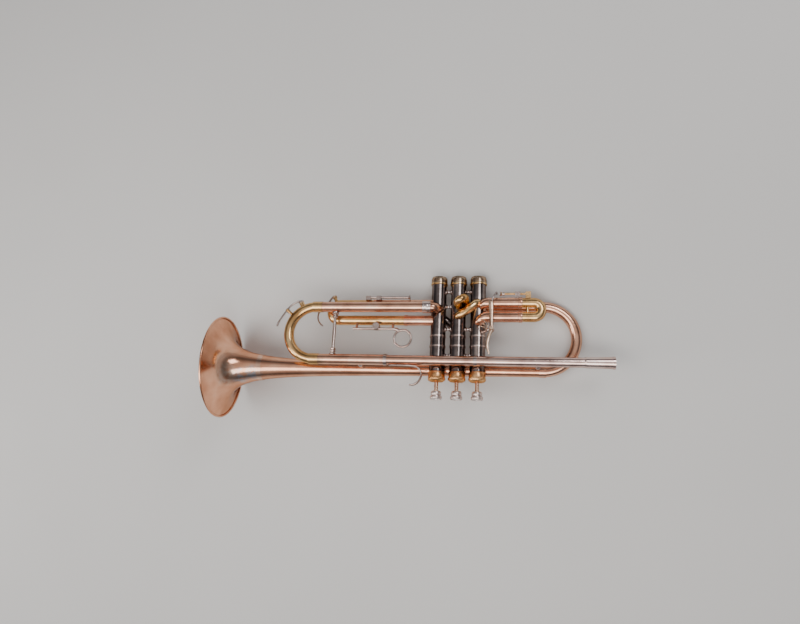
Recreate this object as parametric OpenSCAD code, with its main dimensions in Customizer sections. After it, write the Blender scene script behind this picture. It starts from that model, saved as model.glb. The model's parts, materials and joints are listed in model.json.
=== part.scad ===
// A three-valve trumpet lying on its side, with working valves, slides, triggers and water keys.
// Own frame of the instrument: X runs from the bell to the mouthpiece end, Y from the finger buttons
// to the bottom caps, Z is the side facing up when it lies down. lie() puts that frame on the floor.

/* [Bell] */
// distance of the bell opening from the middle valve
bell_reach = 301.6; // [260:0.1:340]
// outside radius of the bell opening
bell_r = 63; // [55:0.5:68]
// how quickly the flare opens near the rim
flare_len = 12; // [8:0.5:20]
// exponent of the flare
flare_pow = 0.95; // [0.7:0.01:1.2]
// radius the bell stem tends to
stem_floor = 4.3; // [3.5:0.1:5.5]
// thickness of the bell sheet
bell_wall = 0.7; // [0.4:0.1:1.2]
// radius of the wire in the bell rim
rim_wire_r = 1.4; // [0.8:0.1:2.5]
// height of the bell axis across the valves
bell_y = -46.7; // [-55:0.1:-35]
// side offset of the bell axis
bell_z = -15.5; // [-20:0.1:-10]

/* [Bell bow] */
// where the tail bow starts along X
bow_x = 100.6; // [80:0.1:120]
// height of the bow's return leg
bow_return_y = 29.3; // [20:0.1:35]
// side offset of the bow's return leg
bow_return_z = -3.5; // [-8:0.1:0]
// outside radius of the bow tube
bow_r = 6.3; // [5.5:0.1:7]

/* [Valves] */
// spacing of the three valves
valve_pitch = 23.9; // [22:0.1:26]
// outside radius of a casing
casing_r = 9.15; // [8.5:0.05:10]
// bore radius of a casing
casing_bore = 8.45; // [8:0.05:9]
// running clearance of a piston
piston_gap = 0.05; // [0.02:0.01:0.1]
// outer face of the bottom caps
cap_low_y = 66; // [60:0.1:72]
// outer face of the top caps
cap_top_y = -63.5; // [-70:0.1:-60]
// radius of the valve caps
cap_r = 9.8; // [9.3:0.1:11]
// radius of the valve stems
stem_r = 2.4; // [1.8:0.1:3]
// underside of the finger buttons
button_y = -76; // [-84:0.1:-72]
// thickness of a finger button
button_h = 8.5; // [6:0.1:11]
// radius of a finger button
button_r = 7.1; // [6:0.1:9]

/* [Leadpipe and main slide] */
// height of the leadpipe
lead_y = -41.5; // [-48:0.1:-35]
// side offset of leadpipe and main slide
lead_z = 16; // [12:0.1:20]
// outside radius of the leadpipe
lead_r = 5.7; // [5:0.1:6.5]
// mouthpiece end of the receiver
receiver_x = 177.6; // [165:0.1:190]
// radius of the receiver socket
receiver_bore = 5.5; // [5:0.1:6]
// height of the upper leg of the main slide
main_y = 23.8; // [18:0.1:30]
// where the main slide bow starts
main_bow_x = -173; // [-185:0.1:-160]
// outside radius of the fixed slide tubes
outer_r = 6.35; // [6:0.05:7]
// bore of the fixed slide tubes
outer_bore = 5.65; // [5.3:0.05:6]
// running clearance of a slide tube
slide_gap = 0.05; // [0.02:0.01:0.1]

/* [Valve slides] */
// side offset of the third slide
third_z = 2; // [0:0.1:4]
// heights of the third slide legs
third_a = 10.7; // [8:0.1:13]
third_b = 30.7; // [28:0.1:33]
// bow centre of the third slide
third_bow_x = -147; // [-155:0.1:-135]
// end of the short and long fixed tubes of the third slide
third_open_a = -65; // [-75:0.1:-55]
third_open_b = -104; // [-110:0.1:-95]
// side offset of the first slide
first_z = 10; // [9:0.1:13]
// heights of the first slide legs
first_a = 13.3; // [11:0.1:15]
first_b = 30.6; // [28:0.1:33]
// end of the fixed tubes of the first slide
first_open = 76; // [70:0.1:82]
// bow centre of the first slide
first_bow_x = 89.4; // [84:0.1:95]
// spacing of the second slide legs
second_span = 9.8; // [9.4:0.1:12]
// lean of the second slide's plane
second_turn = 30; // [0:1:60]
// end of the fixed tubes of the second slide
second_open = 20; // [16:0.1:24]

/* [Resting pose] */
// roll about the long axis
lie_roll = -17.565; // [-40:0.001:40]
// pitch of the long axis
lie_pitch = 6.382; // [-20:0.001:20]
// shift to the middle of the floor patch and up onto the floor
lie_shift = [63.690, 23.941, 31.010];

/* [Hidden] */
$fn = 64;
inner_r = outer_bore - slide_gap;
inner_bore = inner_r - 0.45;
piston_r = casing_bore - piston_gap;
bell_x = -bell_reach;
stem_len = bell_reach + bow_x;
main_mid = (main_y + lead_y) / 2;
main_rad = (main_y - lead_y) / 2;
bow_mid_y = (bow_return_y + bell_y) / 2;
bow_mid_z = (bow_return_z + bell_z) / 2;
bow_span = norm([bow_return_y - bell_y, bow_return_z - bell_z]);
bow_lean = atan2(bow_return_z - bell_z, bow_return_y - bell_y);
third_mid = (third_a + third_b) / 2;
third_rad = (third_b - third_a) / 2;
first_mid = (first_a + first_b) / 2;
first_rad = (first_b - first_a) / 2;
c_pink = [0.86, 0.70, 0.64];
c_gold = [0.85, 0.64, 0.34];
c_cap = [0.88, 0.55, 0.26];
c_nickel = [0.55, 0.53, 0.52];
c_silver = [0.86, 0.86, 0.88];
c_steel = [0.66, 0.67, 0.70];

// ---- helpers -------------------------------------------------------------
module lie() {
  translate(lie_shift) rotate([lie_roll, lie_pitch, 0]) children();
}

module rod_x(x0, x1, y, z, r) {
  translate([x0, y, z]) rotate([0, 90, 0]) cylinder(h = x1 - x0, r = r);
}

module rod_y(y0, y1, x, z, r) {
  translate([x, y0, z]) rotate([-90, 0, 0]) cylinder(h = y1 - y0, r = r);
}

module rod_z(z0, z1, x, y, r) {
  translate([x, y, z0]) cylinder(h = z1 - z0, r = r);
}

module tube_x(x0, x1, y, z, ro, ri) {
  difference() {
    rod_x(x0, x1, y, z, ro);
    rod_x(x0 - 1, x1 + 1, y, z, ri);
  }
}

module rod(a, b, r) {
  d = b - a;
  translate(a) rotate([0, acos(d[2] / norm(d)), atan2(d[1], d[0])]) cylinder(h = norm(d), r = r);
}

module half_bow(rad, ro, ri, turn = 180) {
  rotate_extrude(angle = turn) translate([rad, 0]) difference() {
    circle(r = ro);
    circle(r = ri);
  }
}

// ---- bell ----------------------------------------------------------------
function flare(d) = stem_floor + (bell_r - stem_floor) * pow(flare_len / (flare_len + d), flare_pow);
// the bell is one sheet in three lengths: the flare, the tail behind it, and the slim stem
function bell_cut(k) = [0, 95, 230, stem_len][k];
function cut_steps(k) = [22, 8, 5][k];
function cut_d(k, i) = bell_cut(k) + (bell_cut(k + 1) - bell_cut(k)) * pow(i / cut_steps(k), k == 0 ? 2 : 1.1);

module bell_length(k) {
  color(c_pink) lie() translate([bell_x, bell_y, bell_z]) rotate([0, 90, 0]) rotate_extrude()
    polygon(concat(
      [for (i = [0 : cut_steps(k)]) [flare(cut_d(k, i)), cut_d(k, i)]],
      [for (i = [cut_steps(k) : -1 : 0]) [flare(cut_d(k, i)) - bell_wall, cut_d(k, i)]]));
}

module bell() { bell_length(0); }
module bell_tail() { bell_length(1); }
module bell_stem() { bell_length(2); }

module bell_rim_wire() {
  color(c_pink) lie() translate([bell_x + 0.4, bell_y, bell_z]) rotate([0, 90, 0])
    rotate_extrude() translate([bell_r - 0.2, 0]) circle(r = rim_wire_r);
}

module bell_ring() {
  r = flare(54);
  color(c_pink) lie() translate([bell_x + 51, bell_y, bell_z]) rotate([0, 90, 0]) difference() {
    cylinder(h = 6, r1 = flare(51) + 0.3, r2 = flare(57) + 0.3);
    translate([0, 0, -0.01]) cylinder(h = 6.02, r1 = flare(51) - 0.2, r2 = flare(57) - 0.2);
  }
}

module bell_bow() {
  color(c_pink) lie() {
    translate([bow_x, bow_mid_y, bow_mid_z]) rotate([bow_lean, 0, 0]) rotate([0, 0, -90])
      half_bow(bow_span / 2, bow_r, bow_r - 0.6);
    difference() {
      union() {
        rod_x(valve_pitch, bow_x - 1, bow_return_y, bow_return_z, bow_r);
        rod_x(bow_x - 3, bow_x + 1.2, bow_return_y, bow_return_z, bow_r + 0.2);
      }
      rod_x(valve_pitch - 1, bow_x + 2, bow_return_y, bow_return_z, bow_r - 0.9);
      rod_y(-60, 60, valve_pitch, 0, casing_r - 0.2);
    }
  }
}

module bow_ferrules() {
  color(c_silver) lie() {
    tube_x(bow_x - 5, bow_x + 3, bell_y, bell_z, bow_r + 0.6, bow_r - 0.1);
    tube_x(bow_x - 5, bow_x - 3.2, bow_return_y, bow_return_z, bow_r + 0.6, bow_r - 0.1);
    tube_x(34, 39, bow_return_y, bow_return_z, bow_r + 0.5, bow_r - 0.1);
  }
}

// ---- leadpipe and main slide ----------------------------------------------
module leadpipe() {
  color(c_pink) lie() tube_x(-88, receiver_x - 29, lead_y, lead_z, lead_r, 4.9);
}

module mouthpiece_receiver() {
  color(c_pink) lie() translate([0, lead_y, lead_z]) rotate([0, 90, 0]) difference() {
    union() {
      translate([0, 0, 145.9]) cylinder(h = receiver_x - 145.9, r1 = 6.3, r2 = 6.8);
      translate([0, 0, 144.4]) cylinder(h = 1.6, r1 = 5.75, r2 = 6.2);
      translate([0, 0, receiver_x - 2.4]) cylinder(h = 2.4, r = 7.3);
    }
    translate([0, 0, receiver_x - 26]) cylinder(h = 27, r = receiver_bore);
    translate([0, 0, 140]) cylinder(h = receiver_x - 29 - 140, r = lead_r - 0.02);
    translate([0, 0, 140]) cylinder(h = 38, r = 4.9);
  }
}

module outer_slide_lower() {
  color(c_pink) lie() tube_x(-165, -85.5, lead_y, lead_z, outer_r, outer_bore);
}

module outer_slide_upper() {
  color(c_pink) lie() tube_x(-165, -40.5, main_y, lead_z, outer_r, outer_bore);
}

// the tube that leaves the upper leg, dips towards the third valve and enters its casing
module inlet_elbow() {
  x3 = -valve_pitch;
  color(c_pink) lie() difference() {
    union() {
      rod_x(-40.5, x3 - 8, main_y, lead_z, 5.9);
      rod_x(-41.5, -31.5, main_y, lead_z, outer_r + 0.6);
      translate([x3 - 8, main_y, lead_z - 8]) rotate([90, 0, 0]) rotate_extrude(angle = 90)
        translate([8, 0]) circle(r = 5.9);
      rod_z(6, lead_z - 8, x3, main_y, 5.9);
    }
    rod_x(-42, x3 - 8.5, main_y, lead_z, 5.2);
    rod_y(0, 50, x3, 0, casing_r - 0.2);
  }
}

module tuning_bow() {
  color(c_gold) lie() {
    translate([main_bow_x, main_mid, lead_z]) rotate([0, 0, 90]) half_bow(main_rad, 6, 5.3);
    tube_x(main_bow_x, -165.2, main_y, lead_z, 6, 5.3);
    tube_x(main_bow_x, -165.2, lead_y, lead_z, 6, 5.3);
  }
}

module tuning_tubes() {
  color(c_silver) lie() {
    tube_x(-171, -98, main_y, lead_z, inner_r, inner_bore);
    tube_x(-171, -98, lead_y, lead_z, inner_r, inner_bore);
  }
}

module tuning_ferrules() {
  color(c_gold) lie() {
    tube_x(-177, -165.2, main_y, lead_z, 6.7, 5.9);
    tube_x(-177, -165.2, lead_y, lead_z, 6.7, 5.9);
  }
}

// a point on the outside of the main bow, at a turn and a distance from the bow centre
function at_bow(turn, d) = [main_bow_x + d * cos(turn), main_mid + d * sin(turn)];

module water_key_saddle() {
  p = at_bow(143, 45.5);
  n = at_bow(118, 37.5);
  nn = at_bow(118, 42);
  color(c_gold) lie() {
    rod([n[0], n[1], lead_z], [nn[0], nn[1], lead_z], 3);
    for (s = [-1, 1]) {
      a = at_bow(143, 36.5);
      rod([a[0], a[1], lead_z + s * 4.2], [p[0], p[1], lead_z + s * 4.2], 1.6);
    }
    rod_z(lead_z - 6, lead_z + 6, p[0], p[1], 1);
  }
}

module water_key_lever() {
  p = at_bow(143, 45.5);
  c = at_bow(118, 44.6);
  c0 = at_bow(118, 42.05);
  t = at_bow(170, 49.5);
  u = (c - p) / norm(c - p);
  v = (t - p) / norm(t - p);
  color(c_steel) lie() {
    difference() {
      rod_z(lead_z - 2.5, lead_z + 2.5, p[0], p[1], 2.4);
      rod_z(lead_z - 3, lead_z + 3, p[0], p[1], 1.05);
    }
    rod([p[0] + 1.7 * u[0], p[1] + 1.7 * u[1], lead_z], [c[0], c[1], lead_z], 1.35);
    rod([p[0] + 1.7 * v[0], p[1] + 1.7 * v[1], lead_z], [t[0], t[1], lead_z], 1.35);
    rod([c0[0], c0[1], lead_z], at3(118, 45.4), 3.2);
    translate([t[0], t[1], lead_z]) sphere(r = 2.2);
  }
}

function at3(turn, d) = [at_bow(turn, d)[0], at_bow(turn, d)[1], lead_z];

// ---- valves ----------------------------------------------------------------
// n runs 1, 2, 3 from the mouthpiece end
function valve_x(n) = (2 - n) * valve_pitch;

module casing(n) {
  x = valve_x(n);
  color(c_nickel) lie() difference() {
    rod_y(-58, 60, x, 0, casing_r);
    rod_y(-59, 61, x, 0, casing_bore);
  }
}

module valve_casing_1() { casing(1); }
module valve_casing_2() { casing(2); }
module valve_casing_3() { casing(3); }

// thin bands round the casings and the leadpipe
module trim_rings() {
  color(c_silver) lie() {
    for (n = [1 : 3], y = [-10, -22.4]) difference() {
      rod_y(y, y + 2, valve_x(n), 0, casing_r + 0.7);
      rod_y(y - 1, y + 3, valve_x(n), 0, casing_r - 0.1);
    }
    tube_x(-85.5, -81.5, lead_y, lead_z, outer_r + 0.55, lead_r - 0.1);
    tube_x(20, 24, lead_y, lead_z, lead_r + 0.5, lead_r - 0.1);
  }
}

module casing_spacers() {
  g = casing_r - 0.4;
  color(c_silver) lie() {
    for (y = [47.5, 28.7, 0.5]) rod_x(-valve_pitch + g, -g, y, 0, 2.1);
    for (y = [47.5, 0.5, -32]) rod_x(g, valve_pitch - g, y, 0, 2.1);
    rod_x(-valve_pitch + g, -g, -32, 0, 2.1);
  }
}

module knuckle_1_2() {
  color(c_gold) lie() difference() {
    rod([20, 30, 8.2], [4, 16, 8.2], 5.2);
    rod_y(-10, 60, valve_pitch, 0, casing_r - 0.1);
    rod_y(-10, 60, 0, 0, casing_r - 0.1);
    second_frame() for (s = [-1, 1])
      translate([s * second_span / 2, 0, 9]) cylinder(h = 30, r = 4.4);
  }
}

module knuckle_2_3() {
  color(c_gold) lie() difference() {
    rod([-4, 4, -8.2], [-20, 18, -8.2], 5.2);
    rod_y(-10, 60, -valve_pitch, 0, casing_r - 0.1);
    rod_y(-10, 60, 0, 0, casing_r - 0.1);
  }
}

module bottom_cap(n) {
  x = valve_x(n);
  color(c_pink) lie() difference() {
    union() {
      rod_y(56, cap_low_y - 2, x, 0, cap_r - 0.2);
      rod_y(57.5, 61.5, x, 0, cap_r + 0.3);
      rod_y(cap_low_y - 2, cap_low_y, x, 0, cap_r - 1.2);
    }
    rod_y(55, 60, x, 0, casing_r - 0.02);
    rod_y(59, cap_low_y - 1.6, x, 0, 8.2);
    rod_y(60, 70, x, 0, 1.6);
  }
}

module bottom_cap_1() { bottom_cap(1); }
module bottom_cap_2() { bottom_cap(2); }
module bottom_cap_3() { bottom_cap(3); }

module top_cap(n) {
  x = valve_x(n);
  color(c_cap) lie() difference() {
    union() {
      rod_y(cap_top_y + 4, -52, x, 0, cap_r);
      rod_y(cap_top_y + 1.5, cap_top_y + 4.5, x, 0, cap_r + 0.5);
      rod_y(cap_top_y, cap_top_y + 2, x, 0, cap_r - 1);
    }
    rod_y(-58, -50, x, 0, casing_r - 0.02);
    rod_y(cap_top_y + 2.2, -57, x, 0, 8.2);
    rod_y(-70, -50, x, 0, stem_r + 0.06);
  }
}

module top_cap_1() { top_cap(1); }
module top_cap_2() { top_cap(2); }
module top_cap_3() { top_cap(3); }

module piston(n) {
  x = valve_x(n);
  color(c_steel) lie() difference() {
    union() {
      rod_y(-34, 44, x, 0, piston_r);
      rod_y(-38, -33, x, 0, 5.5);
    }
    rod_y(41, 45, x, 0, 6.6);
    translate([x, 16, -12]) cylinder(h = 24, r = 5);
    translate([x, 2, -12]) cylinder(h = 24, r = 4.6);
    rod_x(x - 12, x + 12, -12, 0, 4.8);
  }
}

module piston_1() { piston(1); }
module piston_2() { piston(2); }
module piston_3() { piston(3); }

module stem(n) {
  x = valve_x(n);
  color(c_silver) lie() {
    rod_y(button_y - 2, -37, x, 0, stem_r);
    rod_y(button_y, button_y + 1.2, x, 0, 5.4);
  }
}

module stem_1() { stem(1); }
module stem_2() { stem(2); }
module stem_3() { stem(3); }

module button(n) {
  x = valve_x(n);
  color(c_silver) lie() difference() {
    union() {
      rod_y(button_y - 4.2, button_y, x, 0, 5.8);
      rod_y(button_y - button_h + 1, button_y - 4, x, 0, button_r);
      rod_y(button_y - button_h, button_y - button_h + 1.2, x, 0, button_r - 0.8);
    }
    rod_y(button_y - 2, button_y + 1, x, 0, stem_r - 0.02);
    rod_y(button_y - button_h - 1, button_y - button_h + 0.5, x, 0, 4.8);
  }
}

module button_1() { button(1); }
module button_2() { button(2); }
module button_3() { button(3); }

// ---- first slide and its thumb trigger --------------------------------------
module first_outer() {
  color(c_pink) lie() difference() {
    union() {
      for (y = [first_a, first_b]) {
        rod_x(valve_pitch + 10, first_open, y, first_z, outer_r);
        rod_x(first_open - 4, first_open, y, first_z, outer_r + 0.5);
        translate([valve_pitch + 10, y, first_z - 8]) rotate([90, 0, 180]) rotate_extrude(angle = 50)
          rotate([0, 0, 0]) translate([8, 0]) circle(r = 5.6);
        rod([valve_pitch + 10, y, first_z], [valve_pitch + 4, y, 4], 5.6);
      }
    }
    for (y = [first_a, first_b]) rod_x(valve_pitch + 14, first_open + 1, y, first_z, outer_bore);
    rod_y(0, 50, valve_pitch, 0, casing_r - 0.2);
    rod_x(20, 90, bow_return_y, bow_return_z, bow_r + 0.05);
  }
}

module first_bow() {
  color(c_gold) lie() {
    translate([first_bow_x, first_mid, first_z]) rotate([0, 0, -90]) half_bow(first_rad, 5.9, 5.2);
    tube_x(first_open + 0.2, first_bow_x, first_a, first_z, 5.9, 5.2);
    tube_x(first_open + 0.2, first_bow_x, first_b, first_z, 5.9, 5.2);
    rod_y(first_mid - 3.5, first_mid + 3.5, first_open + 6, first_z, 1.8);
  }
}

module first_tubes() {
  color(c_silver) lie() for (y = [first_a, first_b])
    tube_x(valve_pitch + 16, first_open + 6, y, first_z, inner_r, inner_bore);
}

stop1_y = first_b + 11.4;
module first_stop_rod() {
  color(c_gold) lie() {
    rod_x(52.5, 86, stop1_y, first_z, 1.3);
    translate([52.5, stop1_y, first_z]) rotate([0, -90, 0]) cylinder(h = 2.6, r1 = 1.6, r2 = 2.9);
    rod_x(54, 55.2, stop1_y, first_z, 2.2);
    translate([80, first_b + 5.5, first_z - 2.4]) cube([6.2, 8.2, 4.8]);
  }
}

module first_stop_block() {
  color(c_silver) lie() difference() {
    translate([67.5, first_b + 5.9, first_z - 2.2]) cube([6.2, 7.6, 4.4]);
    rod_x(60, 80, stop1_y, first_z, 1.4);
    rod_x(60, 80, first_b, first_z, outer_r - 0.1);
  }
}

trig_x = 40.5;
trig_y = -4;
trig_z = 22;
module trigger_bracket() {
  color(c_silver) lie() difference() {
    union() {
      rod([valve_pitch + 5, trig_y, 5], [trig_x - 4.2, trig_y, trig_z - 5.4], 2);
      rod([trig_x - 4.6, trig_y, trig_z - 5.6], [trig_x, trig_y, trig_z - 5], 1.8);
      rod_z(trig_z - 6.4, trig_z - 2.6, trig_x, trig_y, 3.4);
      rod_z(trig_z - 3, trig_z + 3.4, trig_x, trig_y, 1.38);
      rod_z(trig_z + 2.5, trig_z + 4, trig_x, trig_y, 2.4);
    }
    rod_y(-20, 20, valve_pitch, 0, casing_r - 0.2);
  }
}

module trigger_lever() {
  color(c_silver) lie() {
    difference() {
      union() {
        rod_z(trig_z - 2.4, trig_z + 2.3, trig_x, trig_y, 3);
        rod([trig_x, trig_y, trig_z], [41, 27, trig_z - 1], 2);
        rod([trig_x, trig_y, trig_z], [39, -30, trig_z + 1], 2);
      }
      rod_z(trig_z - 5, trig_z + 5, trig_x, trig_y, 1.46);
    }
    translate([41, 27, trig_z - 1]) sphere(r = 2.1);
    rod([41, 27, trig_z - 1], [44.5, 38.5, trig_z - 1.5], 1.5);
    translate([44.5, 38.5, trig_z - 1.5]) sphere(r = 1.6);
    rod([44.5, 38.5, trig_z - 1.5], [46.2, stop1_y, first_z + 3], 1.45);
    rod([46.2, stop1_y, first_z + 3.4], [46.2, stop1_y, first_z - 2.4], 1.9);
    rod([39, -30, trig_z + 1], [38.5, -37, trig_z + 2], 1.5);
    translate([39, -30, trig_z + 1]) sphere(r = 2.1);
  }
}

// ---- second slide ------------------------------------------------------------
module second_frame() {
  translate([4.9, 30, 0]) rotate([0, 0, second_turn]) children();
}

module second_outer() {
  color(c_gold) lie() difference() {
    second_frame() for (s = [-1, 1]) {
      translate([s * second_span / 2, 0, 3]) cylinder(h = second_open - 3, r = 4.75);
      translate([s * second_span / 2, 0, second_open - 2]) cylinder(h = 2, r = 4.85);
    }
    second_frame() for (s = [-1, 1])
      translate([s * second_span / 2, 0, 9.5]) cylinder(h = 30, r = 4.25);
    rod_y(0, 60, 0, 0, casing_r - 0.2);
    rod_y(0, 60, valve_pitch, 0, casing_r - 0.1);
    rod([20, 30, 8.2], [4, 16, 8.2], 5.2);
  }
}

module second_bow() {
  color(c_gold) lie() second_frame() {
    translate([0, 0, second_open + 4]) rotate([90, 0, 0]) half_bow(second_span / 2, 4.5, 3.8);
    for (s = [-1, 1]) difference() {
      union() {
        translate([s * second_span / 2, 0, 10]) cylinder(h = second_open - 8, r = 4.2);
        translate([s * second_span / 2, 0, second_open + 0.2]) cylinder(h = 4.3, r = 4.7);
      }
      translate([s * second_span / 2, 0, 9]) cylinder(h = 30, r = 3.6);
    }
  }
}

// ---- third slide --------------------------------------------------------------
module third_outer() {
  x3 = -valve_pitch;
  color(c_pink) lie() difference() {
    union() {
      rod_x(third_open_a, x3 - 6, third_a, third_z, outer_r - 0.1);
      rod_x(third_open_b, x3 - 6, third_b, third_z, outer_r - 0.1);
      rod_x(third_open_a, third_open_a + 4, third_a, third_z, outer_r + 0.4);
      rod_x(third_open_b, third_open_b + 4, third_b, third_z, outer_r + 0.4);
    }
    rod_x(third_open_a - 1, x3 - 11, third_a, third_z, outer_bore);
    rod_x(third_open_b - 1, x3 - 11, third_b, third_z, outer_bore);
    rod_y(-20, 60, x3, 0, casing_r - 0.2);
    rod_x(-42, x3 - 8, main_y, lead_z, 7);
    translate([x3 - 8, main_y, lead_z - 8]) rotate([90, 0, 0]) rotate_extrude(angle = 90)
      translate([8, 0]) circle(r = 6);
    rod_z(0, lead_z - 8, x3, main_y, 6);
    rod_x(-110, -20, main_y, lead_z, outer_r + 0.6);
  }
}

module third_bow() {
  color(c_gold) lie() {
    translate([third_bow_x, third_mid, third_z]) rotate([0, 0, 90]) half_bow(third_rad, 6, 5.3);
    tube_x(third_bow_x, third_open_a - 0.2, third_a, third_z, 6, 5.3);
    tube_x(third_bow_x, third_open_b - 0.2, third_b, third_z, 6, 5.3);
  }
}

module third_tubes() {
  color(c_silver) lie() {
    tube_x(third_open_a - 6, -36, third_a, third_z, inner_r, inner_bore);
    tube_x(third_open_b - 6, -44, third_b, third_z, inner_r, inner_bore);
  }
}

ring_y = -13.5;
rail_y = -1.7;
rail_z = 9;
module third_ring_rail() {
  color(c_silver) lie() {
    rod_x(-127, -72, rail_y, rail_z, 1.6);
    for (x = [-123, -78]) rod([x, rail_y, rail_z], [x, third_a - 3.9, third_z + 3.4], 1.5);
    translate([-98, rail_y + 2.6, rail_z]) rod_z(-3, 5.5, 0, 0, 4.2);
    translate([-65.5, ring_y, rail_z]) rotate_extrude() translate([10.4, 0]) circle(r = 1.4);
    rod([-76, rail_y, rail_z], [-70.5, ring_y + 10, rail_z], 2);
  }
}

stop3_y = 38.6;
stop3_z = 7.4;
module third_stop_rod() {
  color(c_silver) lie() {
    rod_x(-113, -61, stop3_y, stop3_z, 1.3);
    translate([-61, stop3_y, stop3_z]) rotate([0, 90, 0]) cylinder(h = 2.4, r1 = 1.6, r2 = 2.9);
    difference() {
      translate([-113.5, third_b + 4.2, third_z + 1.8]) cube([6.2, 5.2, 6]);
      rod_x(-120, -100, third_b, third_z, 5.9);
    }
  }
}

module third_stop_block() {
  color(c_silver) lie() difference() {
    translate([-100.3, third_b + 4.2, third_z + 1.8]) cube([6, 5.2, 6]);
    rod_x(-110, -90, stop3_y, stop3_z, 1.4);
    rod_x(-110, -90, third_b, third_z, outer_r - 0.2);
  }
}

key3 = [-165.5, 27, 2];
module third_key_saddle() {
  color(c_gold) lie() {
    rod([-152, 34, third_z], [-154.5, 39.4, third_z], 2);
    for (s = [-1, 1]) rod([-158.4, 25, third_z + s * 3.8], [key3[0], key3[1], third_z + s * 3.8], 1.4);
    rod_z(third_z - 5, third_z + 5, key3[0], key3[1], 0.9);
  }
}

module third_key_lever() {
  color(c_steel) lie() {
    difference() {
      rod_z(third_z - 2.3, third_z + 2.3, key3[0], key3[1], 2.2);
      rod_z(third_z - 3, third_z + 3, key3[0], key3[1], 0.95);
    }
    difference() {
      union() {
        rod([-156, 41.6, third_z], [key3[0], key3[1], third_z], 1.3);
        rod([-174.5, 19, third_z], [key3[0], key3[1], third_z], 1.3);
      }
      rod_z(third_z - 3, third_z + 3, key3[0], key3[1], 1.9);
    }
    rod([-154.53, 39.46, third_z], [-155.6, 41.8, third_z], 2.8);
    translate([-156, 41.6, third_z]) sphere(r = 1.6);
    translate([-174.5, 19, third_z]) sphere(r = 1.4);
    rod([-174.5, 19, third_z], [-173, 10, third_z + 2], 1.2);
    translate([-173, 10, third_z + 2]) sphere(r = 1.3);
    rod([-173, 10, third_z + 2], [-167, 2.5, third_z + 4], 1.2);
    translate([-167, 2.5, third_z + 4]) sphere(r = 2);
  }
}

// ---- braces and hook ------------------------------------------------------------
// lead_cut and bell_cut_r keep the ends inside the walls of the two tubes they join
module brace(x, lead_cut, bell_cut_r) {
  difference() {
    union() {
      rod([x, lead_y - 1, lead_z - 5], [x, bell_y + 1, bell_z + 5], 1.8);
      translate([x, (lead_y + bell_y) / 2, (lead_z + bell_z) / 2]) sphere(r = 3.2);
    }
    rod_x(x - 8, x + 8, lead_y, lead_z, lead_cut);
    rod_x(x - 8, x + 8, bell_y, bell_z, bell_cut_r);
  }
}

module bell_braces() {
  color(c_silver) lie() {
    brace(-117, 6, 8);
    brace(93.7, 5.3, 6);
  }
}

module slide_brace() {
  color(c_silver) lie() {
    rod_y(lead_y + outer_r - 0.3, main_y - outer_r + 0.3, -148.6, lead_z, 2);
    rod_y(lead_y + outer_r - 0.3, lead_y + outer_r + 1.6, -148.6, lead_z, 4);
    rod_y(lead_y + outer_r + 3, lead_y + outer_r + 6, -148.6, lead_z, 3);
    rod_y(main_y - outer_r - 1.6, main_y - outer_r + 0.3, -148.6, lead_z, 4);
    translate([-148.6, main_y - outer_r - 4, lead_z]) sphere(r = 3.2);
  }
}

module finger_hook() {
  color(c_silver) lie() {
    difference() {
      translate([-80, lead_y - lead_r - 1.6, lead_z - 3.5]) cube([36, 3.4, 7]);
      rod_x(-90, -40, lead_y, lead_z, lead_r - 0.05);
    }
    translate([-52, lead_y - 17.5, lead_z]) rotate([0, 0, -100]) rotate_extrude(angle = 162)
      translate([11.2, -3.4]) square([1.7, 6.8]);
  }
}

// ---- the whole ------------------------------------------------------------------
bell();
bell_tail();
bell_stem();
bell_rim_wire();
bell_ring();
bell_bow();
bow_ferrules();
leadpipe();
mouthpiece_receiver();
outer_slide_lower();
outer_slide_upper();
inlet_elbow();
valve_casing_1();
valve_casing_2();
valve_casing_3();
trim_rings();
casing_spacers();
knuckle_1_2();
knuckle_2_3();
bottom_cap_1();
bottom_cap_2();
bottom_cap_3();
top_cap_1();
top_cap_2();
top_cap_3();
first_outer();
second_outer();
third_outer();
bell_braces();
slide_brace();
finger_hook();
first_stop_block();
third_stop_block();
trigger_bracket();
piston_1();
piston_2();
piston_3();
stem_1();
stem_2();
stem_3();
button_1();
button_2();
button_3();
tuning_bow();
tuning_tubes();
tuning_ferrules();
water_key_saddle();
water_key_lever();
first_bow();
first_tubes();
first_stop_rod();
trigger_lever();
second_bow();
third_bow();
third_tubes();
third_ring_rail();
third_stop_rod();
third_key_saddle();
third_key_lever();
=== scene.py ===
"""Looks for the trumpet: procedural metals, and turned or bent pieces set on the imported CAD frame."""
import json
import math

import bmesh
import bpy
from mathutils import Matrix, Vector


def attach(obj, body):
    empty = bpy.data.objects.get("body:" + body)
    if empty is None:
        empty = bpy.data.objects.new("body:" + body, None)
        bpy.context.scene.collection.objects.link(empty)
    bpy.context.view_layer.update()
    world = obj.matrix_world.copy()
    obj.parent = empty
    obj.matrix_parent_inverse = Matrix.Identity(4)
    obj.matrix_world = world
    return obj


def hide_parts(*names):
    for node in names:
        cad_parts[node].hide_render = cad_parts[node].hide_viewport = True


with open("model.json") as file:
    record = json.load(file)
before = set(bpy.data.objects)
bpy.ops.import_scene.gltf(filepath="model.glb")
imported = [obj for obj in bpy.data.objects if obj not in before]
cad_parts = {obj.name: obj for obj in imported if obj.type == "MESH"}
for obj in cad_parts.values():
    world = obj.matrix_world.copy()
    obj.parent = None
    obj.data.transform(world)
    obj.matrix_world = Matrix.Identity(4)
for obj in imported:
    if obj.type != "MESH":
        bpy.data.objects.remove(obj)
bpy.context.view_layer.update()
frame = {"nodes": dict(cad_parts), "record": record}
nodes = frame["nodes"]
record = frame["record"]

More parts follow.
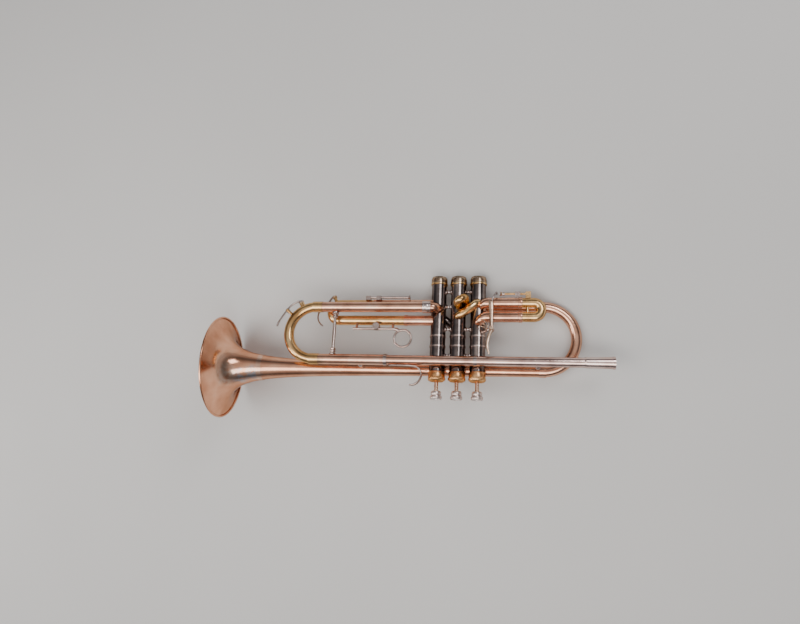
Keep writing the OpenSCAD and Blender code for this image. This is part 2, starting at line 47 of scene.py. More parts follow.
# The instrument's own frame: X from the bell to the mouthpiece end, Y from the buttons to the
# bottom caps, Z up through the leadpipe side. It is read from the record's joints and mounts.
joints = {j["name"]: j for j in record["behaviour"]["joints"]}
mounts = {m["name"]: m for m in record["mounts"]}
AX = Vector(joints["first_slide_push"]["axis"]).normalized()
AY = Vector(joints["valve_1_press"]["axis"]).normalized()
AZ = AX.cross(AY).normalized()
ROT = Matrix((AX, AY, AZ)).transposed()
SOCKET = Vector((164.6, -41.5, 16.0))
ORIGIN = Vector(mounts["mouthpiece_socket"]["pos_m"]) - ROT @ (SOCKET / 1000)

# the same places and measures as the CAD, in the instrument's own millimetres
PITCH = 23.9
LEAD_Y, LEAD_Z, MAIN_Y = -41.5, 16, 23.8
FIRST_YS, FIRST_Z = (30.6, 13.3), 10
BELL_MOUTH = (-301.6, -46.7, -15.5)
BELL_LENGTH, BELL_WALL = 402.2, 0.7
ALONG, DOWN, UP, OUT = (1, 0, 0), (0, 1, 0), (0, -1, 0), (0, 0, 1)


def own(p):
    """A point in the instrument's own millimetres, in the row frame's metres."""
    return ORIGIN + ROT @ (Vector(p) / 1000)


# ---------------------------------------------------------------- camera and light
CAMERA_AT = (60.64, -199.22, 749.94)
CAMERA_LOOK = (-0.16680, 0.27925, -0.94562)
CAMERA_UP = (-0.00148, 0.95898, 0.28345)


def camera():
    cam = bpy.data.cameras.new("camera")
    cam.lens = 29.0
    cam.sensor_width = 36.0
    cam.clip_start = 0.02
    ob = bpy.data.objects.new("camera", cam)
    bpy.context.scene.collection.objects.link(ob)
    look = (ROT @ Vector(CAMERA_LOOK)).normalized()
    side = look.cross(ROT @ Vector(CAMERA_UP)).normalized()
    up = side.cross(look).normalized()
    m = Matrix((side, up, -look)).transposed().to_4x4()
    m.translation = own(CAMERA_AT)
    ob.matrix_world = m
    bpy.context.scene.camera = ob


def area(name, loc, size, size_y, power, colour):
    """A soft box that looks at the middle of the floor."""
    li = bpy.data.lights.new(name, "AREA")
    li.shape = "RECTANGLE"
    li.size = size
    li.size_y = size_y
    li.energy = power
    li.color = colour
    ob = bpy.data.objects.new(name, li)
    bpy.context.scene.collection.objects.link(ob)
    ob.location = loc
    ob.rotation_euler = (-Vector(loc)).to_track_quat("-Z", "Y").to_euler()


def studio():
    """Grey walls: pale at the floor, a dark band for the metal to reflect, and a pale ceiling."""
    world = bpy.data.worlds.new("studio")
    bpy.context.scene.world = world
    world.use_nodes = True
    n, l = world.node_tree.nodes, world.node_tree.links
    background = n["Background"]
    background.inputs["Strength"].default_value = 0.95
    sep = n.new("ShaderNodeSeparateXYZ")
    tones = n.new("ShaderNodeValToRGB")
    els = tones.color_ramp.elements
    els[0].position, els[0].color = 0.0, (0.40, 0.40, 0.41, 1)
    els[1].position, els[1].color = 0.90, (0.72, 0.71, 0.70, 1)
    for at, tone in ((0.16, 0.34), (0.30, 0.11), (0.50, 0.12), (0.72, 0.36)):
        els.new(at).color = (tone, tone, tone * 1.06, 1)
    l.new(n.new("ShaderNodeTexCoord").outputs["Generated"], sep.inputs[0])
    l.new(sep.outputs["Z"], tones.inputs[0])
    l.new(tones.outputs[0], background.inputs["Color"])


camera()
area("key", (-0.10, -0.26, 1.25), 1.9, 0.55, 11, (1.0, 0.97, 0.94))
area("fill", (0.65, 0.80, 0.95), 0.5, 0.4, 3.5, (0.95, 0.97, 1.0))
area("side", (-1.2, -0.3, 0.6), 0.35, 0.8, 4, (1.0, 0.98, 0.96))
studio()


# ---------------------------------------------------------------- materials
def new_mat(name):
    """A new material's nodes, links, shader and object coordinates, after the material itself."""
    m = bpy.data.materials.new(name)
    m.use_nodes = True
    n = m.node_tree.nodes
    co = n.new("ShaderNodeTexCoord").outputs["Object"]
    return m, n, m.node_tree.links, n["Principled BSDF"], co


def noise(n, l, co, scale, detail, rough, stretch=None):
    src = co
    if stretch:
        mp = n.new("ShaderNodeMapping")
        mp.inputs["Scale"].default_value = stretch
        l.new(co, mp.inputs["Vector"])
        src = mp.outputs["Vector"]
    t = n.new("ShaderNodeTexNoise")
    t.inputs["Scale"].default_value = scale
    t.inputs["Detail"].default_value = detail
    t.inputs["Roughness"].default_value = rough
    l.new(src, t.inputs["Vector"])
    return t.outputs["Fac"]


def ramp(n, l, fac, stops):
    r = n.new("ShaderNodeValToRGB")
    els = r.color_ramp.elements
    els[0].position, els[0].color = stops[0][0], (*stops[0][1], 1)
    els[1].position, els[1].color = stops[-1][0], (*stops[-1][1], 1)
    for p, c in stops[1:-1]:
        els.new(p).color = (*c, 1)
    l.new(fac, r.inputs[0])
    return r.outputs[0]


def step(n, l, fac, low, high):
    """Black below low, white above high."""
    return ramp(n, l, fac, [(low, (0, 0, 0)), (high, (1, 1, 1))])


def spread(n, l, value, ends, to):
    """A value between the two ends, as a value between the two of to."""
    mr = n.new("ShaderNodeMapRange")
    mr.inputs["From Min"].default_value, mr.inputs["From Max"].default_value = ends
    mr.inputs["To Min"].default_value, mr.inputs["To Max"].default_value = to
    l.new(value, mr.inputs["Value"])
    return mr.outputs["Result"]


def mixc(n, l, fac, a, b):
    m = n.new("ShaderNodeMix")
    m.data_type = "RGBA"
    l.new(fac, m.inputs[0])
    for sock, v in ((m.inputs[6], a), (m.inputs[7], b)):
        if isinstance(v, tuple):
            sock.default_value = (*v, 1)
        else:
            l.new(v, sock)
    return m.outputs[2]


def vector_math(n, l, operation, co, constant):
    v = n.new("ShaderNodeVectorMath")
    v.operation = operation
    l.new(co, v.inputs[0])
    v.inputs[1].default_value = constant
    return v.outputs["Value"]


def times(n, l, a, b):
    m = n.new("ShaderNodeMath")
    m.operation = "MULTIPLY"
    for i, v in enumerate((a, b)):
        if isinstance(v, float):
            m.inputs[i].default_value = v
        else:
            l.new(v, m.inputs[i])
    return m.outputs[0]


def bump(n, l, b, height, strength, distance):
    bp = n.new("ShaderNodeBump")
    bp.inputs["Strength"].default_value = strength
    bp.inputs["Distance"].default_value = distance
    l.new(height, bp.inputs["Height"])
    l.new(bp.outputs["Normal"], b.inputs["Normal"])


# noise scales and places of the tarnish, the scuffs and the painted highlights, in cells a metre and in the
# noise's own 0 to 1
CLOUDS, SPECKS, SCRATCHES, SCUFF_AND_HIGHLIGHT_EDGES, DENTS = 38, 420, 260, 110, 90
DARK_TO, BASE_AT, WORN_FROM = 0.30, 0.55, 0.78


def metal(name, base, dark, worn, rough, scuffs_and_highlights=(), dents=0.06, turn=None, edge=(0.55, 0.48, 0.44)):
    """Polished, aged plating: cloudy tarnish, fine rubbing scratches, small pits, and patches that are worn
    places and painted highlights.
    """
    m, n, l, b, co = new_mat(name)
    cloud = noise(n, l, co, CLOUDS, 5, 0.6)

    def tarnish(base, dark, worn):
        return ramp(n, l, cloud, [(DARK_TO, dark), (BASE_AT, base), (WORN_FROM, worn)])

    c = tarnish(base, dark, worn)
    speck = step(n, l, noise(n, l, co, SPECKS, 3, 0.6), 0.60, 0.72)
    c = mixc(n, l, times(n, l, speck, 0.25), c, dark)
    if turn:
        # the plating changes along the instrument, from this colour to turn's between two stations
        start, end, *other = turn
        stations = [AX.dot(own((x, 0, 0))) for x in (start, end)]
        along = vector_math(n, l, "DOT_PRODUCT", co, AX)
        c = mixc(n, l, spread(n, l, along, stations, (0.0, 1.0)), c, tarnish(*other))
    # the patches: worn places, and on the bell a painted highlight, each with a torn edge
    for centre, r0, r1, col in scuffs_and_highlights:
        k = spread(n, l, vector_math(n, l, "DISTANCE", co, own(centre)), (r0, r1), (1.0, 0.0))
        torn = step(n, l, noise(n, l, co, SCUFF_AND_HIGHLIGHT_EDGES, 5, 0.7), 0.44, 0.56)
        c = mixc(n, l, times(n, l, k, torn), c, col)
    l.new(c, b.inputs["Base Color"])
    b.inputs["Metallic"].default_value = 1.0
    b.inputs["Specular Tint"].default_value = (*edge, 1)
    scratch = noise(n, l, co, SCRATCHES, 4, 0.65, stretch=(1.0, 7.0, 7.0))
    l.new(spread(n, l, scratch, (0.35, 0.75), rough), b.inputs["Roughness"])
    bump(n, l, b, noise(n, l, co, DENTS, 5, 0.6), dents, 0.0004)
    return m


SILVER_GREY = (0.60, 0.57, 0.57)
bell_mat = metal("bell_rose", (0.88, 0.46, 0.29), (0.68, 0.31, 0.18), (0.95, 0.60, 0.42), (0.11, 0.26),
                 scuffs_and_highlights=[((-268, -61, -1), 0.006, 0.014, SILVER_GREY),
                         ((-254, -57, -2), 0.005, 0.013, SILVER_GREY),
                         # a painted highlight: a golden-white glint near the bell's mouth
                         ((-290, -58, 4), 0.005, 0.018, (0.97, 0.80, 0.64)),
                         ((-285, -42, 6), 0.003, 0.009, (0.42, 0.26, 0.20))])
# the bell ring is real; its paler colour is a painted reflection, the band where the reflected light changes
# on the bell
band_mat_painted_reflection = metal("bell_band_painted_reflection", (0.95, 0.64, 0.48), (0.62, 0.34, 0.23), (0.98, 0.78, 0.66), (0.10, 0.2))
rose = metal("rose_brass", (0.90, 0.51, 0.35), (0.55, 0.27, 0.17), (0.95, 0.66, 0.52), (0.11, 0.26),
             scuffs_and_highlights=[((-170, -44, 21), 0.005, 0.014, (0.46, 0.34, 0.21))])
lead_mat = metal("lead_plating", (0.90, 0.52, 0.37), (0.55, 0.29, 0.19), (0.95, 0.68, 0.55), (0.10, 0.24),
                 turn=(-35, 95, (0.84, 0.62, 0.55), (0.50, 0.34, 0.30), (0.97, 0.82, 0.76)))
gold = metal("yellow_brass", (0.93, 0.59, 0.27), (0.52, 0.28, 0.11), (0.97, 0.77, 0.50), (0.12, 0.30),
             edge=(0.5, 0.36, 0.22))
capm = metal("cap_gold", (0.90, 0.49, 0.22), (0.50, 0.24, 0.09), (0.96, 0.66, 0.38), (0.22, 0.42),
             edge=(0.5, 0.32, 0.2))
low_cap = metal("low_cap_gold", (0.40, 0.28, 0.19), (0.17, 0.11, 0.08), (0.78, 0.58, 0.40), (0.14, 0.34),
                edge=(0.3, 0.22, 0.16))
stem_mat = metal("stem_brass", (0.82, 0.50, 0.34), (0.46, 0.25, 0.15), (0.92, 0.68, 0.52), (0.16, 0.34))
# painted dark reflection: the nickel's base colour is made very dark to stand for the dark surroundings the
# casings reflect
nickel = metal("casing_nickel_painted_dark", (0.25, 0.20, 0.185), (0.09, 0.07, 0.065), (0.60, 0.48, 0.42), (0.07, 0.2),
               dents=0.14)
silver = metal("silver_plate", (0.70, 0.55, 0.49), (0.40, 0.29, 0.25), (0.93, 0.82, 0.76), (0.14, 0.32),
               edge=(0.25, 0.2, 0.18))
ferrule = metal("solder_ferrule", (0.84, 0.72, 0.68), (0.50, 0.38, 0.34), (0.97, 0.92, 0.90), (0.14, 0.36),
                dents=0.3)
buttonm = metal("button_plate", (0.86, 0.71, 0.65), (0.58, 0.44, 0.39), (0.96, 0.88, 0.84), (0.26, 0.46),
                edge=(0.3, 0.24, 0.22))
trig_mat = metal("trigger_plate", (0.86, 0.60, 0.44), (0.50, 0.31, 0.21), (0.95, 0.78, 0.66), (0.14, 0.3),
                 edge=(0.3, 0.22, 0.17))
steel = metal("spring_steel", (0.54, 0.46, 0.43), (0.28, 0.22, 0.20), (0.74, 0.66, 0.62), (0.15, 0.35),
              edge=(0.25, 0.2, 0.19))


def pearl_mat():
    m, n, l, b, co = new_mat("button_pearl")
    sheen = [(0.35, (0.70, 0.74, 0.78)), (0.5, (0.92, 0.90, 0.86)), (0.68, (0.88, 0.78, 0.80))]
    l.new(ramp(n, l, noise(n, l, co, 160, 3, 0.5), sheen), b.inputs["Base Color"])
    b.inputs["Roughness"].default_value = 0.18
    b.inputs["Coat Weight"].default_value = 0.6
    b.inputs["Coat Roughness"].default_value = 0.08
    return m


def cork_mat():
    m, n, l, b, co = new_mat("cork")
    grain = noise(n, l, co, 700, 5, 0.7)
    browns = [(0.38, (0.20, 0.10, 0.05)), (0.55, (0.55, 0.36, 0.20)), (0.7, (0.68, 0.48, 0.29))]
    l.new(ramp(n, l, grain, browns), b.inputs["Base Color"])
    b.inputs["Roughness"].default_value = 0.9
    bump(n, l, b, grain, 0.5, 0.0003)
    return m


def floor_mat():
    m, n, l, b, co = new_mat("floor")
    greys = [(0.3, (0.71, 0.695, 0.675)), (0.7, (0.75, 0.735, 0.715))]
    l.new(ramp(n, l, noise(n, l, co, 2.2, 3, 0.5), greys), b.inputs["Base Color"])
    b.inputs["Roughness"].default_value = 0.7
    return m


pearl = pearl_mat()
cork = cork_mat()

bpy.ops.mesh.primitive_plane_add(size=12, location=(0, 0, -0.0002))
floor = bpy.context.object
floor.name = "floor"
floor.data.materials.append(floor_mat())

# ---------------------------------------------------------------- CAD nodes get their plating
BY_SLOT = {"rose_brass": rose, "yellow_brass": gold, "cap_gold": capm, "nickel": nickel,
           "silver": silver, "button": buttonm, "steel": steel}
BY_NODE = {"bell": bell_mat, "bell_stem": bell_mat, "bell_rim_wire": bell_mat, "bell_ring": band_mat_painted_reflection,
           "leadpipe": lead_mat, "mouthpiece_receiver": lead_mat, "bow_ferrules": rose,
           "stem_1": stem_mat, "stem_2": stem_mat, "stem_3": stem_mat}
slots = {s["node"]: s["material_slot"] for s in record["subparts"]}
for name, ob in nodes.items():
    ob.data.materials.clear()
    ob.data.materials.append(BY_NODE.get(name) or BY_SLOT[slots[name]])


# ---------------------------------------------------------------- mesh helpers, own millimetres
def finish_mesh(name, verts, faces, body, mat, smooth):
    """The piece itself; its edges are sharp where its faces turn by more than smooth degrees."""
    me = bpy.data.meshes.new(name)
    me.from_pydata([tuple(own(v)) for v in verts], [], faces)
    me.update()
    bm = bmesh.new()
    bm.from_mesh(me)
    bmesh.ops.recalc_face_normals(bm, faces=bm.faces)
    for ed in bm.edges:
        ed.smooth = not (len(ed.link_faces) == 2 and ed.calc_face_angle(0) > math.radians(smooth))
    for fc in bm.faces:
        fc.smooth = True
    bm.to_mesh(me)
    bm.free()
    me.materials.append(mat)
    ob = bpy.data.objects.new(name, me)
    bpy.context.scene.collection.objects.link(ob)
    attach(ob, body)
    return ob


def bands(rows, seg):
    """The quads between rows of seg points each."""
    return [(i * seg + k, i * seg + (k + 1) % seg, (i + 1) * seg + (k + 1) % seg, (i + 1) * seg + k)
            for i in range(rows - 1) for k in range(seg)]


def caps(rows, seg):
    return [tuple(range(seg)), tuple(range((rows - 1) * seg, rows * seg))]


def lathe(name, prof, base, axis, body, mat, seg=72, knurl=(), depth=0.22, smooth=35):
    """A turned piece: prof is (radius, height) up the axis; rows in knurl are ridged.

    A profile that comes back to its first point is a ring, and any other is closed by end caps.
    """
    a = Vector(axis).normalized()
    u = a.orthogonal().normalized()
    v = a.cross(u).normalized()
    verts = []
    for i, (r, h) in enumerate(prof):
        for k in range(seg):
            t = 2 * math.pi * k / seg
            rr = r - (depth if i in knurl and k % 2 else 0)
            verts.append(Vector(base) + a * h + (u * math.cos(t) + v * math.sin(t)) * rr)
    faces = bands(len(prof), seg)
    if prof[0] != prof[-1]:
        faces += caps(len(prof), seg)
    else:
        last = (len(prof) - 1) * seg
        faces = [tuple(f - last if f >= last else f for f in fc) for fc in faces]
        verts = verts[:last]
    return finish_mesh(name, verts, faces, body, mat, smooth)


def spline(pts, steps):
    """Catmull-Rom through the points."""
    p = [Vector(x) for x in pts]
    p = [p[0] * 2 - p[1]] + p + [p[-1] * 2 - p[-2]]
    out = []
    for i in range(1, len(p) - 2):
        a, b, c, d = p[i - 1:i + 3]
        for s in range(steps):
            t = s / steps
            out.append(0.5 * ((2 * b) + (c - a) * t + (2 * a - 5 * b + 4 * c - d) * t * t
                              + (3 * b - a - 3 * c + d) * t ** 3))
    out.append(p[-2])
    return out


def sweep(name, pts, size, body, mat, flat_dir=(0, 0, 1), seg=16, steps=8, power=2.0):
    """A rounded bar along a smooth line.

    size gives (half width along flat_dir, half thickness) at even steps along the line, and a
    power above 2 squares the section.
    """
    line = spline(pts, steps)
    n = len(line)
    verts = []
    for i, c in enumerate(line):
        s = i / (n - 1) * (len(size) - 1)
        j = min(int(s), len(size) - 2)
        f = s - j
        w = size[j][0] * (1 - f) + size[j + 1][0] * f
        th = size[j][1] * (1 - f) + size[j + 1][1] * f
        t = (line[min(i + 1, n - 1)] - line[max(i - 1, 0)]).normalized()
        d = Vector(flat_dir)
        d = (d - t * d.dot(t)).normalized()
        q = t.cross(d)
        # the last two rows draw in, so that the ends are rounded
        from_end = min(i, n - 1 - i, 2) / 2
        e = max(math.sqrt(1 - (1 - from_end) ** 2), 0.35)
        for k in range(seg):
            a = 2 * math.pi * k / seg
            ca, sa = math.cos(a), math.sin(a)
            cx = math.copysign(abs(ca) ** (2 / power), ca)
            sx = math.copysign(abs(sa) ** (2 / power), sa)
            verts.append(c + d * (w * e * cx) + q * (th * e * sx))
    return finish_mesh(name, verts, bands(n, seg) + caps(n, seg), body, mat, 70)


# ---------------------------------------------------------------- bell, spun smooth
def flare(d):
    """The bell's outer radius d behind its mouth."""
    return 4.3 + 58.7 * (12 / (12 + d)) ** 0.95


def bell():
    steps = 110
    ds = [BELL_LENGTH * (i / steps) ** 2.4 for i in range(steps + 1)]
    prof = [(flare(d), d) for d in ds] + [(flare(d) - BELL_WALL, d) for d in reversed(ds)]
    prof.append(prof[0])
    ob = lathe("bell_spun", prof, BELL_MOUTH, ALONG, "frame", bell_mat, seg=128, smooth=50)
    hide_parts("bell", "bell_tail", "bell_stem")


bell()

# ---------------------------------------------------------------- valve caps and buttons
BOTTOM_CAP = [(9.2, 57), (9.7, 57), (9.85, 57.5), (9.85, 60.4), (9.5, 60.7), (9.5, 61.1), (9.8, 61.4),
              (9.8, 63.0), (9.6, 63.7), (9.25, 64.1), (9.1, 64.4), (9.1, 65.2), (8.8, 65.8), (8.2, 65.95),
              (7.0, 65.95), (6.6, 65.5), (4.2, 65.1), (2.6, 65.2), (1.8, 65.3), (1.6, 64.6), (1.6, 64.2),
              (8.0, 64.1), (8.1, 61.0), (9.2, 60.8), (9.2, 57)]
BOTTOM_COLLAR = [(9.3, 55.9), (10.1, 55.9), (10.3, 56.2), (10.3, 57.5), (10.1, 57.8), (9.3, 57.8),
                 (9.3, 55.9)]
TOP_CAP = [(9.2, 52), (9.6, 52), (9.8, 52.3), (9.8, 57.5), (9.75, 58.6), (10.3, 59.0), (10.3, 61.6),
           (9.9, 62.0), (9.2, 62.4), (8.8, 62.7), (8.2, 63.2), (5.2, 63.45), (4.2, 63.4), (3.6, 62.9),
           (2.5, 62.9), (2.5, 61.5), (8.0, 61.2), (8.1, 58.2), (9.2, 58.0), (9.2, 52)]
BUTTON = [(2.42, 75.1), (5.0, 75.3), (5.8, 75.7), (6.05, 76.3), (6.05, 78.9), (5.8, 79.4), (5.2, 79.7),
          (5.2, 80.1), (6.3, 80.4), (7.0, 80.9), (7.1, 81.6), (7.1, 83.1), (6.95, 83.8), (6.5, 84.25),
          (6.0, 84.45), (5.35, 84.4), (5.15, 84.15), (5.1, 83.7), (2.4, 83.7), (2.42, 75.1)]
INLAY = [(5.05, 83.6), (5.05, 84.0), (4.6, 84.12), (3.0, 84.2), (1.0, 84.22), (0.4, 84.22)]

for n in (1, 2, 3):
    axis_at = ((2 - n) * PITCH, 0, 0)
    piston = "piston_%d_body" % n
    cap = lathe("bottom_cap_turned_%d" % n, BOTTOM_CAP, axis_at, DOWN, "frame", low_cap,
                seg=96)
    lathe("bottom_cap_collar_%d" % n, BOTTOM_COLLAR, axis_at, DOWN, "frame", gold,
          seg=120, knurl=(2, 3), depth=0.25)
    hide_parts("bottom_cap_%d" % n)
    top = lathe("top_cap_turned_%d" % n, TOP_CAP, axis_at, UP, "frame", capm,
                seg=96, knurl=(5, 6), depth=0.35)
    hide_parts("top_cap_%d" % n)
    button = lathe("button_turned_%d" % n, BUTTON, axis_at, UP, piston, buttonm)
    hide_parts("button_%d" % n)
    lathe("button_inlay_%d" % n, INLAY, axis_at, UP, piston, pearl, seg=48)

# ---------------------------------------------------------------- knuckles between the casings
KNUCKLE = [(5.1, 5.1)] * 6
front = sweep("knuckle_front",
              [(24.5, 33, 3), (22.5, 31, 8.2), (16, 25.5, 10.4), (8, 19.5, 10.4), (1.5, 15.5, 8.6),
               (-1, 14.5, 3)],
              KNUCKLE, "frame", gold, seg=28)
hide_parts("knuckle_1_2")
# the back knuckle is brass, but takes the dark casing nickel as painted shade, dark in the gap between the
# casings
back = sweep("knuckle_back",
             [(1, 2.5, -3), (-2, 4, -8.4), (-9, 9, -10.4), (-15, 13.5, -10.4), (-21.5, 18.5, -8.4),
              (-24, 20, -3)],
             KNUCKLE, "frame", nickel, seg=28)
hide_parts("knuckle_2_3")

# ---------------------------------------------------------------- first slide's fixed tubes and stop
FIRST_TUBE = [(5.65, 0), (6.35, 0), (6.35, 36.6), (6.8, 37.0), (6.85, 37.4), (6.85, 38.4), (6.6, 38.7),
              (6.6, 39.2), (6.85, 39.5), (6.85, 40.6), (6.6, 41), (5.65, 41), (5.65, 0)]
ELBOW = [(6.6, 6.6), (6.6, 6.6), (6.3, 6.3), (6.0, 6.0), (5.9, 5.9), (5.9, 5.9)]
tubes = [lathe("first_outer_turned_%d" % (k + 1), FIRST_TUBE, (35, y, FIRST_Z), ALONG, "frame", rose)
         for k, y in enumerate(FIRST_YS)]
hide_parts("first_outer")
sweep("first_elbow_1",
      [(38.5, 30.6, 10), (36, 30.6, 10), (33.4, 30.3, 9.8), (30.6, 29.3, 8.4), (29.0, 27.8, 5.6),
       (28.6, 26.8, 2.6)],
      ELBOW, "frame", rose, seg=32)
sweep("first_elbow_2",
      [(38.5, 13.3, 10), (36, 13.3, 10), (32.6, 12.9, 10), (28.6, 11.2, 9.2), (25.6, 8.8, 7.2),
       (24.2, 7.2, 4.0)],
      ELBOW, "frame", rose, seg=32)
lathe("first_stop_knob",
      [(1.25, 0), (2.2, 0), (2.35, 0.2), (2.35, 1.3), (2.2, 1.5), (1.7, 1.7), (1.65, 3.0), (2.1, 4.2),
       (2.9, 5.1), (3.05, 5.4), (3.0, 5.7), (2.6, 5.9), (1.2, 5.75), (0.3, 5.7)],
      (55.4, 42, FIRST_Z), (-1, 0, 0), "first_slide", ferrule, seg=40)

# ---------------------------------------------------------------- turned braces and spacers
brace = lathe("slide_brace_turned",
              [(0.3, 6.1), (4.0, 6.1), (4.2, 6.6), (4.0, 7.3), (2.5, 7.8), (2.3, 8.5), (3.3, 8.9),
               (3.6, 9.7), (3.3, 10.5), (2.3, 10.9), (2.3, 11.3), (3.3, 11.7), (3.6, 12.5),
               (3.2, 13.3), (2.1, 13.9), (1.9, 15.5), (2.1, 33), (1.9, 50.3), (2.1, 51.2),
               (3.2, 52.0), (3.5, 53.0), (3.2, 54.0), (2.3, 54.6), (2.5, 55.4), (3.9, 56.4),
               (4.2, 57.5), (4.1, 58.9), (0.3, 58.9)],
              (-148.6, LEAD_Y, LEAD_Z), DOWN, "frame", silver, seg=48)
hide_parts("slide_brace")

SPACER = [(0.3, 0), (3.0, 0), (3.1, 0.5), (2.7, 1.2), (1.9, 1.9), (1.6, 2.6), (1.55, 3.2), (1.6, 3.8),
          (1.9, 4.5), (2.7, 5.2), (3.1, 5.9), (3.0, 6.4), (0.3, 6.4)]
# from the third casing to the second at four heights, and from the second to the first at three
SPACERS_AT = [(-15.15, y, 0) for y in (47.5, 28.7, 0.5, -32)] + [(8.75, y, 0) for y in (47.5, 0.5, -32)]
spacers = [lathe("casing_spacer_turned_%d" % (k + 1), SPACER, at, ALONG, "frame", ferrule,
                 seg=40)
           for k, at in enumerate(SPACERS_AT)]
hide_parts("casing_spacers")
lathe("elbow_collar",
      [(6.5, 0), (7.0, 0), (7.2, 0.3), (7.2, 1.5), (7.0, 1.7), (7.0, 3.2), (7.12, 3.4), (7.12, 6.4),
       (7.0, 6.6), (7.0, 8.1), (7.2, 8.3), (7.2, 9.5), (7.0, 9.8), (6.5, 9.8), (6.5, 0)],
      (-41.4, MAIN_Y, LEAD_Z), ALONG, "frame", ferrule)

# ---------------------------------------------------------------- finger hook and thumb trigger
hook = sweep("finger_hook_bent",
             [(-80, -47.9, 16), (-72, -48.0, 16), (-62, -48.1, 16), (-52, -48.3, 16), (-45.6, -49.6, 16),
              (-41.2, -54, 16), (-40.2, -60, 16), (-43.5, -67, 16), (-49.5, -70.6, 16), (-54, -70.6, 16)],
             [(2.6, 0.7), (3.4, 0.85), (3.4, 0.9), (3.4, 0.95), (3.3, 1.0), (3.3, 1.0), (3.3, 1.0),
              (3.2, 1.0), (3.0, 1.0), (2.4, 0.9)],
             "frame", silver, power=3.2)
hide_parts("finger_hook")

trigger = sweep("thumb_trigger_lever",
                [(39.4, 30.4, 21.8), (39.6, 28.6, 21.9), (39.7, 25, 22), (40.1, 18, 22), (40.2, 8, 22),
                 (40.5, -1, 22), (40.0, -7, 22.2), (37.6, -13, 22.7), (36.0, -20, 23.2),
                 (35.9, -27, 23.6), (38.4, -35.4, 24)],
                [(1.8, 0.9), (2.6, 1.1), (2.9, 1.2), (2.7, 1.2), (2.3, 1.3), (2.2, 2.3), (2.0, 1.8),
                 (1.9, 1.3), (1.9, 1.1), (1.6, 1.0), (0.8, 0.8)],
                "thumb_trigger", trig_mat, flat_dir=ALONG, power=3.0)
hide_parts("trigger_lever")
sweep("thumb_trigger_link",
      [(39.8, 27, 21.6), (41.5, 31.5, 21.2), (43.6, 37, 20.4), (45.4, 40.8, 18.2), (46.2, 42, 15.0),
       (46.2, 42, 8.2)],
      [(1.0, 1.0)] * 6, "thumb_trigger", steel, seg=12)
lathe("trigger_pivot_screw",
      [(0.4, 0), (2.2, 0), (2.5, 0.3), (2.5, 1.0), (2.2, 1.4), (1.2, 1.5), (0.4, 1.5)],
      (40.5, -4, 25.9), OUT, "frame", trig_mat, seg=40)

# the trigger's return spring: bent wires from the first casing's wall round to the pivot post
SPRING_WIRES = (((25.4, 9.4, 11.0), (31.8, 6.4, 17.6), (36.6, -0.6, 19.6)),
                ((24.6, 5.6, 11.4), (30.8, 3.0, 17.4), (35.6, -3.2, 19.4)),
                ((24.0, 1.8, 11.4), (29.8, -0.4, 17.0), (34.8, -4.6, 18.8)))
IN_WALL_Z = 8.85
for k, (a, b, c) in enumerate(SPRING_WIRES):
    foot = (a[0] - 1.4, a[1] - 0.4, IN_WALL_Z)
    mid1 = tuple((Vector(a) * 0.5 + Vector(b) * 0.5) + Vector((-0.2, 0.9, 1.0)))
    mid2 = tuple((Vector(b) * 0.5 + Vector(c) * 0.5) + Vector((0.9, 0.9, 0.4)))
    sweep("trigger_spring_%d" % (k + 1), [foot, a, mid1, b, mid2, c], [(0.62, 0.5)] * 6,
          "frame", trig_mat, flat_dir=DOWN, seg=12, power=2.4)


# ---------------------------------------------------------------- water keys
def pol(turn, d, z=16.0):
    """A point beside the main bow: degrees round its middle, and how far from it."""
    return (-173 + d * math.cos(math.radians(turn)), -8.85 + d * math.sin(math.radians(turn)), z)


def torsion_spring(name, c, r, z0, z1, body):
    """The small coil spring beside a water key's hub."""
    turns, per_turn = 4, 10
    pts = []
    for i in range(turns * per_turn + 1):
        t = 2 * math.pi * i / per_turn
        pts.append((c[0] + r * math.cos(t), c[1] + r * math.sin(t), z0 + (z1 - z0) * i / (turns * per_turn)))
    sweep(name, pts, [(0.28, 0.28)] * 2, body, steel, seg=8, steps=2)


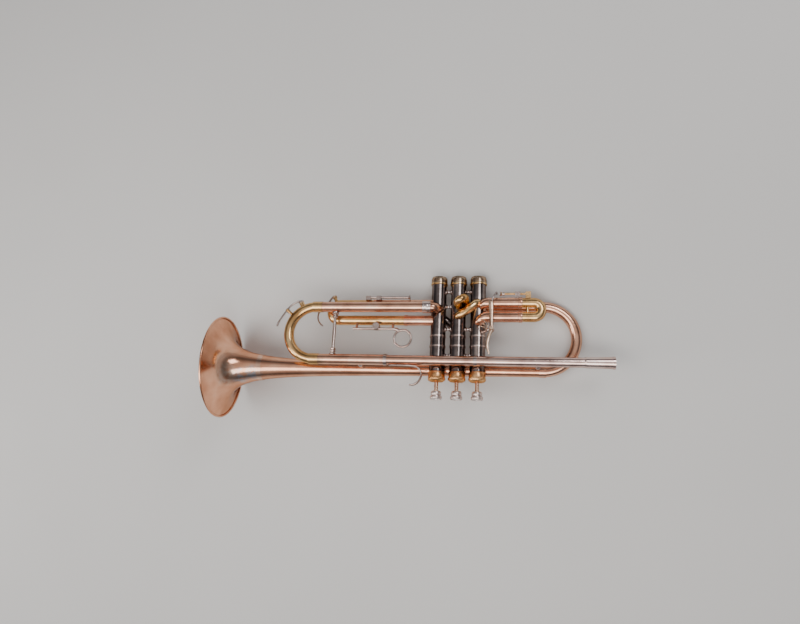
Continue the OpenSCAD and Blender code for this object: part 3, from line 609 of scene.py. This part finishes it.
WATER_PIVOT = pol(143, 45.5)
WATER_NIPPLE = pol(118, 41.6)
arm = sweep("water_key_arm",
            [pol(117, 45.6), pol(122, 46.6), pol(130, 47.6), pol(137, 47.8), pol(143, 47.6),
             pol(150, 47.6), pol(158, 48.3), pol(165, 49.3), pol(171, 49.8)],
            [(2.6, 0.7), (1.8, 0.9), (1.3, 1.0), (1.3, 1.0), (1.6, 1.0), (1.3, 1.0), (1.3, 0.9),
             (1.9, 0.8), (2.4, 0.8)],
            "water_key", steel, power=2.6)
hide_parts("water_key_lever")
lathe("water_key_hub",
      [(1.05, -2.5), (2.3, -2.5), (2.4, -2.3), (2.4, 2.3), (2.3, 2.5), (1.05, 2.5), (1.05, -2.5)],
      WATER_PIVOT, OUT, "water_key", steel, seg=40)
outward = Vector(pol(118, 1)) - Vector(pol(118, 0))
lathe("water_key_cup",
      [(2.9, 1.6), (3.2, 1.7), (3.25, 2.2), (3.2, 3.3), (2.6, 3.7), (1.0, 3.8), (0.4, 3.8)],
      WATER_NIPPLE, outward, "water_key", steel, seg=40)
lathe("water_key_cork",
      [(0.4, 0.45), (2.4, 0.45), (2.8, 0.6), (2.9, 1.0), (2.9, 1.9), (0.4, 1.9)],
      WATER_NIPPLE, outward, "water_key", cork, seg=32)

THIRD_PIVOT = (-165.5, 27.0, 2.0)
arm = sweep("third_key_arm",
            [(-155.4, 42.2, 2), (-158, 40.6, 2), (-162.5, 34, 2), (-167.2, 29, 2), (-170.8, 25, 2),
             (-174.6, 18.5, 2.2), (-173.8, 11, 3.6), (-170.3, 5.5, 5.0), (-166.4, 2.2, 6)],
            [(2.3, 0.8), (1.8, 0.9), (1.3, 1.0), (1.5, 1.0), (1.3, 1.0), (1.3, 0.9), (1.3, 0.9),
             (1.8, 0.9), (2.0, 0.9)],
            "third_key", steel, power=2.6)
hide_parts("third_key_lever")
lathe("third_key_hub",
      [(0.95, -2.3), (2.1, -2.3), (2.2, -2.1), (2.2, 2.1), (2.1, 2.3), (0.95, 2.3), (0.95, -2.3)],
      THIRD_PIVOT, OUT, "third_key", steel, seg=36)
lathe("third_key_cork",
      [(0.4, 0.05), (2.4, 0.05), (2.8, 0.2), (2.8, 2.2), (2.2, 2.9), (0.4, 3.0)],
      (-154.5, 39.45, 2), (-0.42, 0.91, 0), "third_key", cork, seg=32)

torsion_spring("water_key_spring", WATER_PIVOT, 2.0, 18.7, 19.9, "tuning_slide")
torsion_spring("third_key_spring", THIRD_PIVOT, 1.8, 4.5, 5.6, "third_slide")
